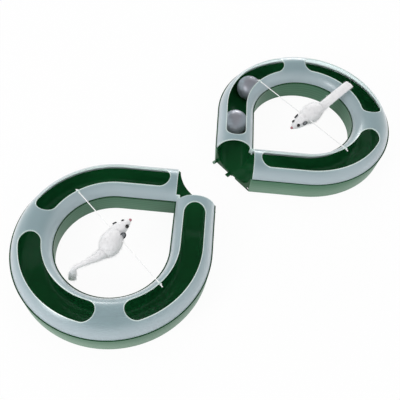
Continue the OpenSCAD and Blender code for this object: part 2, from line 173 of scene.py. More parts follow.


# Injection moulded polypropylene: polished in the trough and on the lip, where it is dark and glossy,
# and spark eroded on the skirts, where it is matt, with a paler colour that is painted light from the floor
def makeBasePlastic(v):
    material, tree, shader = newMaterial("mouldedPolypropylene")
    place = addNode(tree, "ShaderNodeTexCoord").outputs["Object"]
    offset, height = trackOffset(tree, place)
    side = addNode(tree, "ShaderNodeMath", {0: offset}, operation="ABSOLUTE").outputs[0]
    inward = addNode(tree, "ShaderNodeMath", {0: offset, 1: 0.0}, operation="LESS_THAN").outputs[0]

    # where the skirts are: outside the trough and below the lip
    near, far = v["lipFrom"]
    outside = addNode(tree, "ShaderNodeMapRange", {0: side, 1: near * mm, 2: far * mm},
                      **smooth).outputs[0]
    raised = addNode(tree, "ShaderNodeMath", {0: inward, 1: v["innerLip"] * mm, 2: height},
                     operation="MULTIPLY_ADD").outputs[0]
    top, bottom = v["lipDown"]
    under = addNode(tree, "ShaderNodeMapRange", {0: raised, 1: top * mm, 2: bottom * mm}, **smooth)
    skirt = addNode(tree, "ShaderNodeMath", {0: outside, 1: under.outputs[0]},
                    operation="MULTIPLY").outputs[0]

    # painted light: the skirts grow paler towards the table, and less so at the open middle
    low = addNode(tree, "ShaderNodeMapRange", {0: height, 1: track["rim"], 2: v["foot"] * mm}, **smooth)
    less = addNode(tree, "ShaderNodeMath", {0: inward, 1: v["innerFall"] - 1, 2: 1.0},
                   operation="MULTIPLY_ADD")
    fall = addNode(tree, "ShaderNodeMath", {0: low.outputs[0], 1: less.outputs[0]}, operation="MULTIPLY")
    skirtPaintedLight = addNode(tree, "ShaderNodeMix", {0: fall.outputs[0], 6: linear(v["skirtTop"]),
                                           7: linear(v["skirtFoot"])}, data_type="RGBA").outputs[2]
    trough = addNode(tree, "ShaderNodeMix", {0: outside, 6: linear(v["trough"]), 7: linear(v["lip"])},
                     data_type="RGBA").outputs[2]
    colour = addNode(tree, "ShaderNodeMix", {0: skirt, 6: trough, 7: skirtPaintedLight}, data_type="RGBA").outputs[2]

    # the tone: cloudy all over, times 1 + depth x sine of the height for faint bands on the skirts
    cloud = addNode(tree, "ShaderNodeTexNoise", {"Vector": place, "Scale": 1 / (v["cloud"] * mm),
                                                 "Detail": 3.0})
    darkest, lightest = v["cloudTone"]
    tone = addNode(tree, "ShaderNodeMapRange", {0: cloud.outputs[0], 3: darkest, 4: lightest}).outputs[0]
    turns = addNode(tree, "ShaderNodeMath", {0: height, 1: 2 * math.pi / (v["bandSpacing"] * mm)},
                    operation="MULTIPLY").outputs[0]
    wave = addNode(tree, "ShaderNodeMath", {0: turns}, operation="SINE").outputs[0]
    depth = addNode(tree, "ShaderNodeMath", {0: inward, 1: v["innerLineDepth"], 2: v["lineDepth"]},
                    operation="MULTIPLY_ADD").outputs[0]
    faint = addNode(tree, "ShaderNodeMath", {0: skirt, 1: depth}, operation="MULTIPLY").outputs[0]
    line = addNode(tree, "ShaderNodeMath", {0: wave, 1: faint, 2: 1.0}, operation="MULTIPLY_ADD").outputs[0]
    tone = addNode(tree, "ShaderNodeMath", {0: tone, 1: line}, operation="MULTIPLY").outputs[0]
    shaded = addNode(tree, "ShaderNodeVectorMath", {0: colour, "Scale": tone}, operation="SCALE").outputs[0]

    rough = addNode(tree, "ShaderNodeMapRange", {0: skirt, 3: v["troughRoughness"], 4: v["skirtRoughness"]})
    grain = addNode(tree, "ShaderNodeTexNoise", {"Vector": place, "Scale": 1 / (v["erodedGrain"] * mm)})
    deep = addNode(tree, "ShaderNodeMath", {0: skirt, 1: v["grainStrength"]}, operation="MULTIPLY")
    bump = addNode(tree, "ShaderNodeBump", {"Height": grain.outputs[0], "Strength": deep.outputs[0],
                                            "Distance": v["grainHeight"] * mm})
    setSockets(tree, shader, {"Base Color": shaded, "Roughness": rough.outputs[0], "IOR": v["ior"],
                              "Specular IOR Level": v["specular"], "Normal": bump.outputs[0]})
    return material


coverPlastic = {
    "crown": "#9eb5bc",            # milky, a little cool, and darker than the flank: painted shade of the dark trough under it
    "flank": "#bdccd4",            # whiter: painted light, where the wall is seen against its own thickness
    "flankFrom": (14, 29),         # mm from the track's centre line, from crown to flank
    "cut": "#e6f4ee",              # painted highlight on the edges of slots and ends mm of the rounded edge that gets the painted highlight
    "edge": 2.4,                   # mm of the rounded edge that does
    "edgeTurn": (0.99, 0.93),      # cosine of the turn at which an edge starts, and at which it is full
    "rimFrom": (29.3, 28.8),       # mm from the centre line; the rim in the base's lip has no such edge
    "cutClear": 0.15,              # share of the wall's transmission that an edge keeps
    "glow": "#eef5f3",             # the inner side of the far wall shines
    "through": 0.7,                # share of the light that is scattered there
    "domeUp": 27.5,                # mm, height of the dome's axis
    "innerHalf": (30.1, 29.9),     # mm from that axis: within it lies the inner half of the 2 mm wall
    "transmission": 0.34,          # what the outer skin lets in
    "clear": 0.85,                 # what light in the wall, or under it, finds on its way out
    "ior": 1.49,
    "roughness": 0.3,
    "innerRoughness": 0.95,
    "coat": (0.25, 0.25),          # weight and roughness of the skin's gloss,
    "sheen": (0.8, 0.35),          # and of the frost's scatter at a low angle
    "cloud": 50,                   # mm between slightly glossier and duller areas
    "cloudDepth": 0.04,
    "frostGrain": 0.6,             # mm; the real grain is 0.1 mm, and it is drawn coarser so that it shows
    "grainStrength": 0.12,
    "grainHeight": 0.1,            # mm
}


# Natural polypropylene, moulded in a frosted tool: milky, lets the green under it show softly; its colour
# holds painted shade at the crown and painted light on the flanks and cut edges
def makeCoverPlastic(v):
    material, tree, shader = newMaterial("frostedPolypropylene")
    place = addNode(tree, "ShaderNodeTexCoord").outputs["Object"]
    geometry = addNode(tree, "ShaderNodeNewGeometry")
    offset, height = trackOffset(tree, place)
    side = addNode(tree, "ShaderNodeMath", {0: offset}, operation="ABSOLUTE").outputs[0]

    # painted highlight on cut edges: where a rounded normal turns away from the flat one, but for the rim
    rounded = addNode(tree, "ShaderNodeBevel", {"Radius": v["edge"] * mm}, samples=6).outputs[0]
    same = addNode(tree, "ShaderNodeVectorMath", {0: geometry.outputs["Normal"], 1: rounded},
                   operation="DOT_PRODUCT")
    flat, turned = v["edgeTurn"]
    wall = addNode(tree, "ShaderNodeMapRange", {0: same.outputs["Value"], 1: flat, 2: turned}, **smooth)
    far, near = v["rimFrom"]
    offRim = addNode(tree, "ShaderNodeMapRange", {0: side, 1: far * mm, 2: near * mm}, **smooth)
    cut = addNode(tree, "ShaderNodeMath", {0: wall.outputs[0], 1: offRim.outputs[0]},
                  operation="MULTIPLY").outputs[0]

    # painted shade at the crown and painted light on the flanks, by the distance from the centre line
    near, far = v["flankFrom"]
    flank = addNode(tree, "ShaderNodeMapRange", {0: side, 1: near * mm, 2: far * mm}, **smooth).outputs[0]
    milk = addNode(tree, "ShaderNodeMix", {0: flank, 6: linear(v["crown"]), 7: linear(v["flank"])},
                   data_type="RGBA").outputs[2]
    colour = addNode(tree, "ShaderNodeMix", {0: cut, 6: milk, 7: linear(v["cut"])},
                     data_type="RGBA").outputs[2]

    # within: the inner half of the dome's wall, by its distance from the dome's axis, and every back face
    across = addNode(tree, "ShaderNodeCombineXYZ", {0: offset, 1: height}).outputs[0]
    reach = addNode(tree, "ShaderNodeVectorMath", {0: across, 1: (0, v["domeUp"] * mm, 0)},
                    operation="DISTANCE")
    outer, inner = v["innerHalf"]
    under = addNode(tree, "ShaderNodeMapRange", {0: reach.outputs["Value"], 1: outer * mm, 2: inner * mm},
                    **smooth).outputs[0]
    within = addNode(tree, "ShaderNodeMath", {0: under, 1: geometry.outputs["Backfacing"]},
                     operation="MAXIMUM").outputs[0]
    clear = addNode(tree, "ShaderNodeMapRange", {0: within, 3: v["transmission"], 4: v["clear"]})
    less = addNode(tree, "ShaderNodeMapRange", {0: cut, 3: 1.0, 4: v["cutClear"]})
    clear = addNode(tree, "ShaderNodeMath", {0: clear.outputs[0], 1: less.outputs[0]},
                    operation="MULTIPLY").outputs[0]

    # the skin, with cloudy gloss over the frost's grain
    cloud = addNode(tree, "ShaderNodeTexNoise", {"Vector": place, "Scale": 1 / (v["cloud"] * mm),
                                                 "Detail": 2.0})
    skin = addNode(tree, "ShaderNodeMapRange", {0: cloud.outputs[0], 3: v["roughness"] - v["cloudDepth"],
                                                4: v["roughness"] + v["cloudDepth"]})
    rough = addNode(tree, "ShaderNodeMix", {0: within, 2: skin.outputs[0], 3: v["innerRoughness"]},
                    data_type="FLOAT")
    grain = addNode(tree, "ShaderNodeTexNoise", {"Vector": place, "Scale": 1 / (v["frostGrain"] * mm)})
    bump = addNode(tree, "ShaderNodeBump", {"Height": grain.outputs[0], "Strength": v["grainStrength"],
                                            "Distance": v["grainHeight"] * mm})
    coat, coatRoughness = v["coat"]
    sheen, sheenRoughness = v["sheen"]
    setSockets(tree, shader, {"Base Color": colour, "Roughness": rough.outputs[0], "IOR": v["ior"],
                              "Transmission Weight": clear, "Coat Weight": coat,
                              "Coat Roughness": coatRoughness, "Sheen Weight": sheen,
                              "Sheen Roughness": sheenRoughness, "Normal": bump.outputs[0]})

    # seen from inside, the thin wall passes the studio's light on in all directions
    through = addNode(tree, "ShaderNodeBsdfTranslucent", {0: linear(v["glow"])})
    share = addNode(tree, "ShaderNodeMath", {0: within, 1: v["through"]}, operation="MULTIPLY")
    both = addNode(tree, "ShaderNodeMixShader", {0: share.outputs[0], 1: shader.outputs[0],
                                                 2: through.outputs[0]})
    tree.links.new(both.outputs[0], tree.nodes["Material Output"].inputs["Surface"])
    return material


ballPlastic = {
    "colour": "#a3a4ad",
    "metallic": 0.5,
    "roughness": 0.42,
    "flake": 0.7,                  # mm; real pearl flakes are 0.05 mm, and they are drawn coarser to show
    "flakeTone": (0.92, 1.1),      # at a flake's middle and between flakes,
    "flakeRoughness": (-0.05, 0.08),    # and what is added there to the roughness
    "coat": (0.1, 0.4),            # weight and roughness of the skin's gloss
}


# Polystyrene filled with pearl pigment, moulded in two shells: a soft grey metallic sheen
def makeBallPlastic(v):
    material, tree, shader = newMaterial("pearlPolystyrene")
    place = addNode(tree, "ShaderNodeTexCoord").outputs["Object"]
    flakes = addNode(tree, "ShaderNodeTexVoronoi", {"Vector": place, "Scale": 1 / (v["flake"] * mm)})
    darkest, lightest = v["flakeTone"]
    tone = addNode(tree, "ShaderNodeMapRange", {0: flakes.outputs["Distance"], 3: darkest, 4: lightest})
    colour = addNode(tree, "ShaderNodeVectorMath", {0: linear(v["colour"])[:3], "Scale": tone.outputs[0]},
                     operation="SCALE")
    glossy, dull = v["flakeRoughness"]
    rough = addNode(tree, "ShaderNodeMapRange", {0: flakes.outputs["Distance"], 3: v["roughness"] + glossy,
                                                 4: v["roughness"] + dull})
    coat, coatRoughness = v["coat"]
    setSockets(tree, shader, {"Base Color": colour.outputs[0], "Roughness": rough.outputs[0],
                              "Metallic": v["metallic"], "Coat Weight": coat,
                              "Coat Roughness": coatRoughness})
    return material


plush = {
    "colour": "#f0eff0",
    # painted shade: the grey that the pile takes in patches
    "shade": "#e8e8ea",
    "tuft": 5.0,                   # mm between tufts
    "roughness": 0.85,
    "sheen": 1.0,
    "subsurface": 0.5,
    "lightDepth": 2.5,             # mm that light travels in the pile
}


# Acrylic plush: matt white pile, with painted shade that makes it a little greyer in patches, as between
# tufts
def makePlush(v):
    material, tree, shader = newMaterial("acrylicPlush")
    place = addNode(tree, "ShaderNodeTexCoord").outputs["Object"]
    tufts = addNode(tree, "ShaderNodeTexNoise", {"Vector": place, "Scale": 1 / (v["tuft"] * mm),
                                                 "Detail": 3.0})
    colour = addNode(tree, "ShaderNodeMix", {0: tufts.outputs[0], 6: linear(v["colour"]),
                                             7: linear(v["shade"])}, data_type="RGBA").outputs[2]
    setSockets(tree, shader, {"Base Color": colour, "Roughness": v["roughness"], "Sheen Weight": v["sheen"],
                              "Subsurface Weight": v["subsurface"], "Subsurface Radius": (1, 1, 1),
                              "Subsurface Scale": v["lightDepth"] * mm})
    return material


# Fibres lie some 0.1 mm apart on the real pieces, and are drawn coarser so that they show
elasticBraid = {"colour": "#fafafa", "spacing": 0.4, "contrast": 0.2, "raised": 0.3, "bump": 0.4,
                "roughness": 0.6, "sheen": 0.2}
noseFlock = {"colour": "#b0707a", "spacing": 0.3, "contrast": 0.2, "raised": 0.3, "bump": 0.4,
             "roughness": 0.9, "sheen": 0.3}
earFelt = {"colour": "#8b8e92", "spacing": 0.3, "contrast": 0.15, "raised": 0.2, "bump": 0.4,
           "roughness": 0.9, "sheen": 0.2, "rim": "#2b2e32", "rimFrom": (0.3, 0.7)}


# Felt, flock or braid: a matt colour with fibres whose spacing and height are in mm. Felt is paler in its
# middle, and dark along the rim that the piece's own attribute gives.
def makeFibre(name, v):
    material, tree, shader = newMaterial(name)
    place = addNode(tree, "ShaderNodeTexCoord").outputs["Object"]
    colour = linear(v["colour"])[:3]
    if "rim" in v:
        rim = addNode(tree, "ShaderNodeAttribute", attribute_name="rim").outputs["Fac"]
        start, full = v["rimFrom"]
        edge = addNode(tree, "ShaderNodeMapRange", {0: rim, 1: start, 2: full}, **smooth).outputs[0]
        colour = addNode(tree, "ShaderNodeMix", {0: edge, 6: linear(v["colour"]), 7: linear(v["rim"])},
                         data_type="RGBA").outputs[2]
    fibres = addNode(tree, "ShaderNodeTexNoise", {"Vector": place, "Scale": 1 / (v["spacing"] * mm),
                                                  "Detail": 4.0})
    tone = addNode(tree, "ShaderNodeMapRange", {0: fibres.outputs[0], 3: 1 - v["contrast"],
                                                4: 1 + v["contrast"]})
    mixed = addNode(tree, "ShaderNodeVectorMath", {0: colour, "Scale": tone.outputs[0]}, operation="SCALE")
    bump = addNode(tree, "ShaderNodeBump", {"Height": fibres.outputs[0], "Strength": v["bump"],
                                            "Distance": v["raised"] * mm})
    setSockets(tree, shader, {"Base Color": mixed.outputs[0], "Roughness": v["roughness"],
                              "Sheen Weight": v["sheen"], "Normal": bump.outputs[0]})
    return material


# scratch is the mm between fine scratches, and the bead is smooth between them and duller on them
bead = {"colour": "#060606", "scratch": 1.111, "roughness": (0.04, 0.14), "ior": 1.59}


# Polished black polystyrene bead, with a few fine scratches in its gloss
def makeBead(v):
    material, tree, shader = newMaterial("blackBead")
    place = addNode(tree, "ShaderNodeTexCoord").outputs["Object"]
    marks = addNode(tree, "ShaderNodeTexNoise", {"Vector": place, "Scale": 1 / (v["scratch"] * mm),
                                                 "Detail": 2.0})
    clean, worn = v["roughness"]
    rough = addNode(tree, "ShaderNodeMapRange", {0: marks.outputs[0], 3: clean, 4: worn})
    setSockets(tree, shader, {"Base Color": linear(v["colour"]), "Roughness": rough.outputs[0],
                              "IOR": v["ior"]})
    return material


materials = {
    "green_shell": makeBasePlastic(basePlastic),
    "frosted_cover": makeCoverPlastic(coverPlastic),
    "pearl_ball": makeBallPlastic(ballPlastic),
    "white_fur": makePlush(plush),
    "elastic_cord": makeFibre("braidedElastic", elasticBraid),
    "ear_fabric": makeFibre("greyFelt", earFelt),
    "black_bead": makeBead(bead),
    "pink_nose": makeFibre("pinkFlock", noseFlock),
}

for name, node in frame["nodes"].items():
    slot = next(s["material_slot"] for s in frame["record"]["subparts"] if s["node"] == name)
    node.data.materials.clear()
    node.data.materials.append(materials[slot])
print("materials made")


tiny = 1e-12           # stands for a length of zero where one is divided by
justShort = 1e-9       # keeps the last point inside the last stretch of a path or a grid
leastLeft = 1e-6       # keeps the rings at the poles of a turned surface open by a hair


# A mesh object from arrays of points and faces, finished at the origin, riding on a body
def makePiece(name, points, faces, slot, body, node):
    mesh = bpy.data.meshes.new(name)
    mesh.from_pydata(points.tolist(), [], faces)
    mesh.polygons.foreach_set("use_smooth", [True] * len(mesh.polygons))
    mesh.materials.append(materials[slot])
    mesh.update()
    piece = bpy.data.objects.new(name, mesh)
    scene.collection.objects.link(piece)
    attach(piece, body)
    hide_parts(node)
    return piece


def rotation(axis, degrees):
    return Matrix.Rotation(math.radians(degrees), 4, axis)


# A grid or list of points, taken to the row's frame by a 4 x 4 matrix
def placed(points, matrix):
    m = np.array(matrix)
    return (points.reshape(-1, 3) @ m[:3, :3].T + m[:3, 3]).reshape(points.shape)


# Faces of a grid whose columns close on themselves, with one flat face over each end
def closedFaces(rings, sides):
    i = np.arange(rings - 1)[:, None] * sides
    j = np.arange(sides)[None, :]
    k = (j + 1) % sides
    quads = np.stack([i + j, i + k, i + sides + k, i + sides + j], -1).reshape(-1, 4)
    caps = [list(range(sides))[::-1], [(rings - 1) * sides + s for s in range(sides)]]
    return quads.tolist() + caps


# Several such grids as one mesh: the faces of each count on from the points before it
def joined(grids):
    faces, start = [], 0
    for grid in grids:
        faces += [[k + start for k in f] for f in closedFaces(*grid.shape[:2])]
        start += grid.shape[0] * grid.shape[1]
    return np.concatenate([grid.reshape(-1, 3) for grid in grids]), faces


# Surface turned about x: at each x, a ring of radius r
def turned(x, r, sides):
    angle = np.linspace(0, 2 * np.pi, sides, endpoint=False)
    y, z = np.outer(r, np.cos(angle)), np.outer(r, np.sin(angle))
    return np.stack([np.repeat(x[:, None], sides, 1), y, z], -1)


# Oval tube along a path: each ring is an ellipse across the path, half widths a and b,
# where b lies along the path's own up direction
def sweep(path, a, b, sides, up=(0, 0, 1)):
    step = np.gradient(path, axis=0)
    step /= np.linalg.norm(step, axis=1)[:, None]
    across = np.cross(np.array(up, float), step)
    across /= np.linalg.norm(across, axis=1)[:, None]
    over = np.cross(step, across)
    angle = np.linspace(0, 2 * np.pi, sides, endpoint=False)
    ring = (across[:, None] * np.cos(angle)[None, :, None] * np.asarray(a)[:, None, None]
            + over[:, None] * np.sin(angle)[None, :, None] * np.asarray(b)[:, None, None])
    return path[:, None] + ring


# Smooth path through given points, by a Catmull-Rom curve: between points b and c it is the cubic
# whose slope at each is half the step between that point's two neighbours
def smoothPath(points, steps):
    p = np.array(points, float)
    p = np.concatenate([2 * p[:1] - p[1:2], p, 2 * p[-1:] - p[-2:-1]])
    t = np.linspace(0, len(points) - 1 - justShort, steps)
    i = t.astype(int)
    f = (t - i)[:, None]
    a, b, c, d = p[i], p[i + 1], p[i + 2], p[i + 3]
    bend = 2 * a - 5 * b + 4 * c - d
    twist = 3 * b - a - 3 * c + d
    return 0.5 * (2 * b + (c - a) * f + bend * f ** 2 + twist * f ** 3)


# Hairs: each is a three-sided spike, bent once; its bend and its droops are shares of its length
hairShape = {
    "scatter": 0.16,               # of the direction in which it leaves the skin
    "droop": 0.5,                  # share of its lean by which it bends over
    "droopScatter": 0.08,
    "least": 0.5,                  # most are 0.5 to 0.9 of the fur's length,
    "usual": 0.4,
    "longer": 0.6,                 # and a few stand out
    "fewness": 4,
    "bend": 0.55,                  # where it bends
    "bendDroop": 0.2,
    "tipDroop": 0.6,
    "taper": 0.7,                  # its width at the bend, by its width at the foot
}


# Fur on a grid surface: roots fall at random by area, and each hair leans from the surface's normal
# towards the flow, which is the grid's first direction
def furSpikes(grid, fur, seed, v=hairShape):
    random = np.random.default_rng(seed)
    count, lean = fur["count"], fur["lean"]
    wrapped = np.concatenate([grid, grid[:, :1]], 1)
    a, b = wrapped[:-1, :-1].reshape(-1, 3), wrapped[1:, :-1].reshape(-1, 3)
    c, d = wrapped[:-1, 1:].reshape(-1, 3), wrapped[1:, 1:].reshape(-1, 3)
    normal = np.cross(b - a, c - a) + np.cross(d - c, d - b)
    area = np.linalg.norm(normal, axis=1)
    normal /= np.maximum(area, tiny)[:, None]
    pick = random.choice(len(area), count, p=area / area.sum())
    s, t = random.random((2, count, 1))
    root = (a[pick] * (1 - s) + b[pick] * s) * (1 - t) + (c[pick] * (1 - s) + d[pick] * s) * t
    flow = (b - a)[pick]
    flow /= np.maximum(np.linalg.norm(flow, axis=1), tiny)[:, None]
    centre = grid.reshape(-1, 3).mean(0)
    outward = normal[pick] * np.sign(((root - centre) * normal[pick]).sum(1).mean() or 1)
    aim = outward * (1 - lean) + flow * lean + random.normal(0, v["scatter"], (count, 3))
    aim /= np.linalg.norm(aim, axis=1)[:, None]
    droop = flow * lean * v["droop"] + random.normal(0, v["droopScatter"], (count, 3))
    usual, longer = random.random((count, 1)), random.random((count, 1))
    size = fur["length"] * (v["least"] + v["usual"] * usual + v["longer"] * longer ** v["fewness"])
    across = np.cross(aim, random.normal(0, 1, (count, 3)))
    across /= np.linalg.norm(across, axis=1)[:, None]
    third = np.cross(aim, across)
    turn = np.array([0, 2 * np.pi / 3, 4 * np.pi / 3])
    ring = across[:, None] * np.cos(turn)[None, :, None] + third[:, None] * np.sin(turn)[None, :, None]
    ring = ring * fur["width"]
    middle = root + (aim * v["bend"] + droop * v["bendDroop"]) * size
    tip = root + (aim + droop * v["tipDroop"]) * size
    foot = (root - aim * fur["width"])[:, None] + ring
    points = np.concatenate([foot, middle[:, None] + ring * v["taper"], tip[:, None]], 1)
    # a hair's points: 0 to 2 at its foot, 3 to 5 at its bend, and 6 at its tip
    pattern = [[2, 1, 0], [0, 1, 4, 3], [1, 2, 5, 4], [2, 0, 3, 5], [3, 4, 6], [4, 5, 6], [5, 3, 6]]
    faces = [[k + 7 * n for k in f] for n in range(count) for f in pattern]
    return points.reshape(-1, 3), faces


# Smooth random relief over a grid whose columns close on themselves, from 0 to 1: random values on
# a coarse grid, blended between its points with a smooth step
def relief(rings, sides, along, around, random):
    knots = random.random((along + 1, around))
    u = np.linspace(0, along - justShort, rings)[:, None]
    w = np.linspace(0, around, sides, endpoint=False)[None, :]
    i, j = u.astype(int), w.astype(int)
    f, g = u - i, w - j
    f, g = f * f * (3 - 2 * f), g * g * (3 - 2 * g)
    k = (j + 1) % around
    left = knots[i, j] * (1 - f) + knots[i + 1, j] * f
    right = knots[i, k] * (1 - f) + knots[i + 1, k] * f
    return left * (1 - g) + right * g


largeShare = 0.6       # share of the relief that large tufts make; tufts of half their size make the rest


# One piece of plush in one mesh: its pile lies in tufts, which are two sizes of relief drawn out
# along the grid's first direction, and a thin fringe of longer hairs stands out of it
def makeFurry(name, grid, fur, body, node, seed):
    random = np.random.default_rng(seed)
    rings, sides = grid.shape[:2]
    along = np.gradient(grid, axis=0)
    around = np.roll(grid, -1, 1) - np.roll(grid, 1, 1)
    normal = np.cross(along, around)
    normal /= np.maximum(np.linalg.norm(normal, axis=2), tiny)[..., None]
    normal *= np.sign(((grid - grid.mean((0, 1))) * normal).sum(2).mean())
    tufts = np.array(fur["tufts"])
    large = relief(rings, sides, *tufts, random)
    small = relief(rings, sides, *(tufts * 2), random)
    bump = large * largeShare + small * (1 - largeShare) - 0.5
    grid = grid + normal * (bump * fur["relief"])[..., None]
    hair, hairFaces = furSpikes(grid, fur, seed)
    skin = grid.reshape(-1, 3)
    faces = closedFaces(rings, sides) + [[k + len(skin) for k in f] for f in hairFaces]
    makePiece(name, np.concatenate([skin, hair]), faces, "white_fur", body, node)


# Mouse: lengths along its axis are from the elastic, nose ahead
mouseShape = {
    "rear": 38 * mm, "front": 11 * mm, "peak": 14 * mm, "radius": 16.2 * mm, "drop": 4 * mm,
    "rearFullness": 2.3, "frontFullness": 1.75,
    "headLength": 40 * mm, "headRadius": 10.8 * mm, "nose": 31.5 * mm, "neck": 6.6 * mm,
    "headSkinOut": 0.24 * mm,      # how far the head's skin stands out of its solid
}
# real pile is 0.05 mm thick: tufts, counted along and around a piece, and hairs are drawn coarser to show
trunkFur = {"count": 900, "length": 5.0 * mm, "width": 0.1 * mm, "lean": 0.6,
            "tufts": (16, 34), "relief": 0.45 * mm}
headFur = {"count": 300, "length": 2.6 * mm, "width": 0.09 * mm, "lean": 0.65,
           "tufts": (14, 26), "relief": 0.35 * mm}
tailFur = {"count": 650, "length": 4.4 * mm, "width": 0.1 * mm, "lean": 0.5,
           "tufts": (30, 14), "relief": 0.6 * mm}


# Trunk: two quarters of a full ellipse turned about the axis, from the front to the rump:
# radius = (1 - x^n)^(1/n), where x is 0 at the peak and 1 at each end, and n is that end's fullness
def trunkGrid(v, rings=110, sides=140):
    c = np.cos(np.linspace(0, np.pi, rings))
    front, rear = v["front"] + v["peak"], v["rear"] - v["peak"]
    x = -v["peak"] + np.where(c > 0, front, rear) * c
    full = np.where(c > 0, v["frontFullness"], v["rearFullness"])
    r = v["radius"] * np.maximum(1 - np.abs(c) ** full, leastLeft) ** (1 / full)
    return turned(x, r, sides)


# Head: an egg with its sharper end at the nose, radius = sqrt(u (1 - u^4)) by its largest value, which
# is where u^4 is a fifth; u runs from 0 at the nose to 1
def headProfile(u):
    largest = math.sqrt(0.8 * 0.2 ** 0.25)
    return np.sqrt(np.maximum(u * (1 - u ** 4), leastLeft)) / largest


# The head's rings lie closer together at the nose: u goes as the square of a sine
def headGrid(v, rings=80, sides=100):
    first = 0.04       # the first ring's angle, just clear of the nose
    u = np.sin(np.linspace(first, np.pi / 2, rings)) ** 2
    return turned(-u * v["headLength"], (v["headRadius"] + v["headSkinOut"]) * headProfile(u), sides)


earShape = {
    "back": 20.5 * mm,             # from the nose
    "spread": 64,                  # degrees round the head from its top
    "width": 9 * mm, "height": 9 * mm, "thick": 0.9 * mm,
    "lean": 14,                    # degrees
    "out": 1.0 * mm,               # of the head's solid
    "cup": 1.3 * mm,
    "backSize": 0.97,              # of the front's, which rolls the rim
}


# Ear: a shallow cupped oval of felt. From the middle to the rim, its reach goes as a sine and its depth
# as the square of the way; the rings go out over the back and come in again over the front.
def earGrid(v, rings=14, sides=28):
    s = np.linspace(0, 1, rings)
    reach = np.sin(s * np.pi / 2) * v["width"] / 2
    cup = v["cup"] * (s ** 2 - 0.5)
    angle = np.linspace(0, 2 * np.pi, sides, endpoint=False)
    x = np.outer(reach, np.cos(angle))
    y = np.outer(reach, np.sin(angle)) * v["height"] / v["width"]
    front = np.stack([x, y, np.repeat((cup + v["thick"] / 2)[:, None], sides, 1)], -1)
    back = front[::-1].copy()
    back[..., 2] -= v["thick"]
    back[..., :2] *= v["backSize"]
    return np.concatenate([front, back])[::-1]


# Two ears in one mesh, one on each side of the head; its rim attribute runs from 0 in an ear's middle
# to 1 at its rim
def makeEars(name, head, body, node, pair):
    grids, rims = [], []
    for side, v in zip((-1, 1), pair):
        out = mouseShape["headRadius"] * headProfile(v["back"] / mouseShape["headLength"]) + v["out"]
        place = (head @ Matrix.Translation((-v["back"], 0, 0)) @ rotation("X", side * v["spread"])
                 @ Matrix.Translation((0, 0, out)) @ rotation("Y", v["lean"]))
        grid = placed(earGrid(v), place)
        grids.append(grid)
        ramp = np.linspace(0, 1, grid.shape[0] // 2)
        rims.append(np.repeat(np.concatenate([ramp, ramp[::-1]]), grid.shape[1]))
    ears = makePiece(name, *joined(grids), "ear_fabric", body, node)
    rim = ears.data.attributes.new("rim", "FLOAT", "POINT")
    rim.data.foreach_set("value", np.concatenate(rims))


noseShape = {"radius": 2.4 * mm, "halfDepth": 2.208 * mm, "ahead": 0.48 * mm, "rings": 16, "sides": 24,
             "first": 0.02}    # radians from each pole to its nearest ring


# Nose: a flocked button, an ellipsoid turned about x: x goes as the cosine of the angle from its front,
# and the radius as its sine
def makeNose(name, head, body, node, v=noseShape):
    s = np.linspace(v["first"], np.pi - v["first"], v["rings"])
    grid = turned(np.cos(s) * v["halfDepth"] + v["ahead"], np.sin(s) * v["radius"], v["sides"])
    makePiece(name, *joined([placed(grid, head)]), "pink_nose", body, node)


tailShape = {
    "steps": 200, "sides": 56,
    "round": 0.025,                # share of its length that ends round
    "blunt": 0.05,                 # square of the share of its width that is left at the very end
    "tuftFrom": 0.55,              # shares of its length where it starts to widen to its tip,
    "tuftOver": 0.25,              # and over which it does
}


# A tail: an oval tube that is wide where it leaves the trunk, narrows by a parabola, changes to its tip's
# width by a smooth step, and ends round, as a quarter of an ellipse
def makeTail(name, tail, loop, body, node, seed, v=tailShape):
    path = smoothPath(placed(np.array(tail["path"]) * mm, loop), v["steps"])
    s = np.linspace(0, 1, v["steps"])
    end = np.sqrt(np.clip(1 - ((s - (1 - v["round"])) / v["round"]).clip(0) ** 2, v["blunt"], 1))
    root = np.clip(1 - s / tail["taper"], 0, 1) ** 2
    far = np.clip((s - v["tuftFrom"]) / v["tuftOver"], 0, 1)
    tuft = far * far * (3 - 2 * far)
    width = (tail["width"] + (tail["rootWidth"] - tail["width"]) * root
             + (tail["tipWidth"] - tail["width"]) * tuft)
    thick = tail["thick"] + (tail["rootThick"] - tail["thick"]) * root
    grid = sweep(path, width / 2 * end, thick / 2 * end, v["sides"], tail["up"])
    makeFurry(name, grid, tailFur, body, node, seed)


# Each loop's own frame: its origin is the round part's centre on the table, and +x points to the tip
loops = {
    "a": Matrix.Translation((-loopX, 0, 0)),
    "b": Matrix.Translation((loopX, 0, 0)) @ rotation("Z", 180),
}
elasticZ = 51 * mm

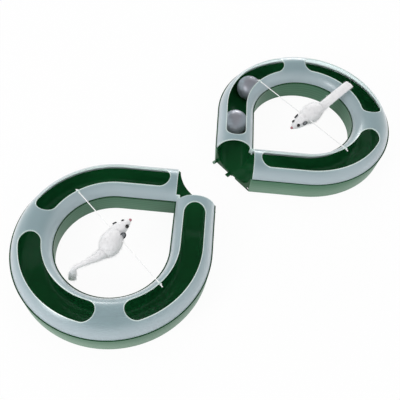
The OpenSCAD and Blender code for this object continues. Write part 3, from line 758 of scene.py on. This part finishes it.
# A tail's path is in mm in its loop's frame. Its thickness lies along up, and taper is the share of its
# length over which it narrows from its root.
mice = {
    "a": {
        "y": 4 * mm, "turn": 30, "dip": 0,    # place on the elastic, and degrees from +X and from level
        "headTurn": 33, "headDip": -20,       # degrees from the trunk's axis
        "seed": 11,
        "ears": ({**earShape, "spread": 72, "width": 7 * mm},
                 {**earShape, "back": 22.2 * mm, "spread": 70, "out": 5 * mm,
                  "width": 10.5 * mm, "height": 11 * mm}),
        # level behind the trunk, then hanging
        "tail": {"width": 7.5 * mm, "thick": 5.6 * mm, "up": (0.66, 0.75, 0.5),
                 "rootWidth": 21 * mm, "rootThick": 20 * mm, "taper": 0.42, "tipWidth": 11.5 * mm,
                 "path": [(-14, -9, 46), (-33, -10, 46.5), (-48, -8, 47), (-58, -6, 47), (-65, -4.5, 46),
                          (-69.5, -4, 42.5), (-72.2, -4.6, 36.5), (-74.2, -5.4, 29.5), (-75.8, -6.4, 23)]},
    },
    "b": {
        "y": -10 * mm, "turn": 180, "dip": 6,
        "headTurn": 0, "headDip": 0,
        "seed": 31,
        "ears": ({**earShape, "height": 6.5 * mm}, earShape),
        # straight out behind the trunk and over the cover
        "tail": {"width": 17 * mm, "thick": 5.6 * mm, "up": (0, 0, 1),
                 "rootWidth": 17 * mm, "rootThick": 15 * mm, "taper": 0.5, "tipWidth": 17 * mm,
                 "path": [(-14, 13, 48), (-37, 12, 52), (-60, 11, 55.1), (-83, 10.3, 57.9),
                          (-105, 10, 60.3)]},
    },
}


# A mouse on its elastic: the trunk's frame is on the axis below the elastic, and the head's is its tip
def makeMouse(letter, v, shape=mouseShape):
    name, body = "mouse" + letter.upper(), "mouse_" + letter
    centre = sum(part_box("elastic_" + letter), Vector()) / 2
    place = (Matrix.Translation((centre.x, v["y"], elasticZ)) @ rotation("Z", v["turn"])
             @ rotation("Y", v["dip"]) @ Matrix.Translation((0, 0, -shape["drop"])))
    head = (place @ Matrix.Translation((shape["neck"], 0, 0)) @ rotation("Z", -v["headTurn"])
            @ rotation("Y", v["headDip"]) @ Matrix.Translation((shape["nose"] - shape["neck"], 0, 0)))
    makeFurry(name + "Trunk", placed(trunkGrid(shape), place), trunkFur, body, body + "_trunk", v["seed"])
    makeFurry(name + "Head", placed(headGrid(shape), head), headFur, body, body + "_head", v["seed"] + 1)
    makeEars(name + "Ears", head, body, body + "_ears", v["ears"])
    makeNose(name + "Nose", head, body, body + "_nose")
    makeTail(name + "Tail", v["tail"], loops[letter], body, body + "_tail", v["seed"] + 2)


for letter, v in mice.items():
    makeMouse(letter, v)
print("mice made")

# Elastic: a braided cord, taut across the loop, knotted inside the cover at both ends
elasticShape = {
    "radius": 0.8 * mm,
    "rings": 900, "sides": 12,
    "braid": 2.2 * mm,             # length in which a strand of the braid goes half round the cord
    "swell": 0.07,                 # share by which the radius swells where they cross
    "beyond": 5.4 * mm,            # from where the straight cord stops to the end of its solid
    "knot": 1.4375 * mm,           # radius of the knot, and of the cord that is drawn tight in it
    "knotCord": 0.6 * mm,
    "knotAt": 1.2 * mm,            # past the straight cord's end
    "knotRings": 90, "knotSides": 10,
    "endRings": 24, "endSides": 10,
    # the loose end: how far each point is past the straight cord's end, and how far it droops
    "looseEnd": ((1.5 * mm, 0), (3.2 * mm, 0.8 * mm), (5.1 * mm, 1.9 * mm)),
    "fray": (0.9, 1.2),            # its radius at its two ends, by the cord's
}


# The cord is a tube along a straight line, with a knot and a loose end as tubes of their own at each side
def makeElastic(name, node, body, v=elasticShape):
    low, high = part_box(node)
    centre, half = (low + high) / 2, (high.y - low.y) / 2
    straight = half - v["beyond"]
    rings, sides = v["rings"], v["sides"]
    y = np.linspace(-straight, straight, rings)
    path = np.stack([np.full(rings, centre.x), y + centre.y, np.full(rings, elasticZ)], -1)
    angle = np.linspace(0, 2 * np.pi, sides, endpoint=False)
    # the two sets of strands wind in opposite ways: the swell is the product of their two cosines
    turns = 2 * np.pi * y[:, None] / v["braid"]
    swell = 1 + v["swell"] * np.cos(turns + 2 * angle) * np.cos(turns - 2 * angle)
    core = sweep(path, np.full(rings, v["radius"]), np.full(rings, v["radius"]), sides)
    grids = [path[:, None] + (core - path[:, None]) * swell[..., None]]
    for side in (-1, 1):
        # overhand knot: a trefoil, x = sin t + 2 sin 2t, y = -sin 3t, z = cos t - 2 cos 2t, of radius 3
        t = np.linspace(0, 2 * np.pi, v["knotRings"])
        knot = np.stack([np.sin(t) + 2 * np.sin(2 * t), -np.sin(3 * t), np.cos(t) - 2 * np.cos(2 * t)], -1)
        knot = knot * v["knot"] / 3 + (centre.x, centre.y + side * (straight + v["knotAt"]), elasticZ)
        thin = np.full(v["knotRings"], v["knotCord"])
        grids.append(sweep(knot, thin, thin, v["knotSides"], up=(0.1, 1, 0.1)))
        end = [(centre.x, centre.y + side * (straight + past), elasticZ - droop)
               for past, droop in v["looseEnd"]]
        frayed = v["radius"] * np.linspace(*v["fray"], v["endRings"])
        grids.append(sweep(smoothPath(end, v["endRings"]), frayed, frayed, v["endSides"], up=(1, 0, 0)))
    makePiece(name, *joined(grids), "elastic_cord", body, node)


makeElastic("elasticNear", "elastic_a", "loop_a")
makeElastic("elasticFar", "elastic_b", "loop_b")
print("elastics made")


# Stage: a pale floor that keeps a faint shadow, a white surround and soft studio light
studio = {
    "floor": "#f6f6f6",
    "floorHalf": 6.0,
    "floorWhite": 0.94,            # share of white in what the camera, gloss and clear plastic see of it
    "horizon": 1.0,                # the surround's strength in gloss, up to brightTo,
    "overhead": 0.12,              # and above darkFrom, both as the height of the direction
    "brightTo": 0.15,
    "darkFrom": 0.8,
    "soft": 0.74,                  # the surround's strength on matt surfaces
}
lamps = {    # places and sizes in metres, and power in watts
    "keySoftbox": {"place": (-1.7, 0.1, 0.9), "size": (0.55, 0.35), "power": 10.0},
    "backSoftbox": {"place": (1.7, 1.8, 0.5), "size": (1.8, 0.5), "power": 26.0},
    "fillSoftbox": {"place": (0.8, -1.5, 1.3), "size": (1.2, 0.8), "power": 4.0},
}


# Matt paper, which takes the shadow; the camera, gloss and clear plastic see mostly plain white over it
def makeFloor(v):
    mesh = bpy.data.meshes.new("floor")
    half = v["floorHalf"]
    corners = [(-half, -half, 0), (half, -half, 0), (half, half, 0), (-half, half, 0)]
    mesh.from_pydata(corners, [], [(0, 1, 2, 3)])
    floor = bpy.data.objects.new("floor", mesh)
    scene.collection.objects.link(floor)
    material = bpy.data.materials.new("paperSweep")
    material.use_nodes = True
    tree = material.node_tree
    tree.nodes.clear()
    paper = addNode(tree, "ShaderNodeBsdfDiffuse", {0: linear(v["floor"])})
    white = addNode(tree, "ShaderNodeEmission", {0: (1, 1, 1, 1), 1: 1.0})
    rays = addNode(tree, "ShaderNodeLightPath").outputs
    seen = addNode(tree, "ShaderNodeMath", {0: rays["Is Camera Ray"], 1: rays["Is Glossy Ray"]},
                   operation="MAXIMUM")
    seen = addNode(tree, "ShaderNodeMath", {0: seen.outputs[0], 1: rays["Is Transmission Ray"]},
                   operation="MAXIMUM")
    share = addNode(tree, "ShaderNodeMath", {0: seen.outputs[0], 1: v["floorWhite"]}, operation="MULTIPLY")
    mix = addNode(tree, "ShaderNodeMixShader", {0: share.outputs[0], 1: paper.outputs[0],
                                                2: white.outputs[0]})
    addNode(tree, "ShaderNodeOutputMaterial", {0: mix.outputs[0]})
    mesh.materials.append(material)


# The surround is white to the camera and at the horizon; gloss finds the studio's dark ceiling overhead
def makeSurround(v):
    world = bpy.data.worlds.new("surround")
    scene.world = world
    world.use_nodes = True
    tree = world.node_tree
    tree.nodes.clear()
    rays = addNode(tree, "ShaderNodeLightPath").outputs
    direction = addNode(tree, "ShaderNodeTexCoord").outputs["Generated"]
    height = addNode(tree, "ShaderNodeSeparateXYZ", {0: direction}).outputs[2]
    glow = addNode(tree, "ShaderNodeMapRange", {0: height, 1: v["brightTo"], 2: v["darkFrom"],
                                                3: v["horizon"], 4: v["overhead"]}, **smooth).outputs[0]
    glossy = addNode(tree, "ShaderNodeMix", {0: rays["Is Glossy Ray"], 2: v["soft"], 3: glow},
                     data_type="FLOAT").outputs[0]
    seen = addNode(tree, "ShaderNodeMath", {0: rays["Is Camera Ray"], 1: rays["Is Transmission Ray"]},
                   operation="MAXIMUM")
    strength = addNode(tree, "ShaderNodeMix", {0: seen.outputs[0], 2: glossy, 3: 1.0}, data_type="FLOAT")
    back = addNode(tree, "ShaderNodeBackground", {0: (1, 1, 1, 1), 1: strength.outputs[0]})
    addNode(tree, "ShaderNodeOutputWorld", {0: back.outputs[0]})


# A softbox that faces the origin
def addLight(name, v):
    data = bpy.data.lights.new(name, "AREA")
    data.shape = "RECTANGLE"
    data.size, data.size_y = v["size"]
    data.energy = v["power"]
    light = bpy.data.objects.new(name, data)
    light.location = v["place"]
    light.rotation_euler = (-Vector(v["place"])).to_track_quat("-Z", "Y").to_euler()
    scene.collection.objects.link(light)


makeFloor(studio)
makeSurround(studio)
for name, v in lamps.items():
    addLight(name, v)
scene.view_settings.view_transform = "Standard"
print("stage set")
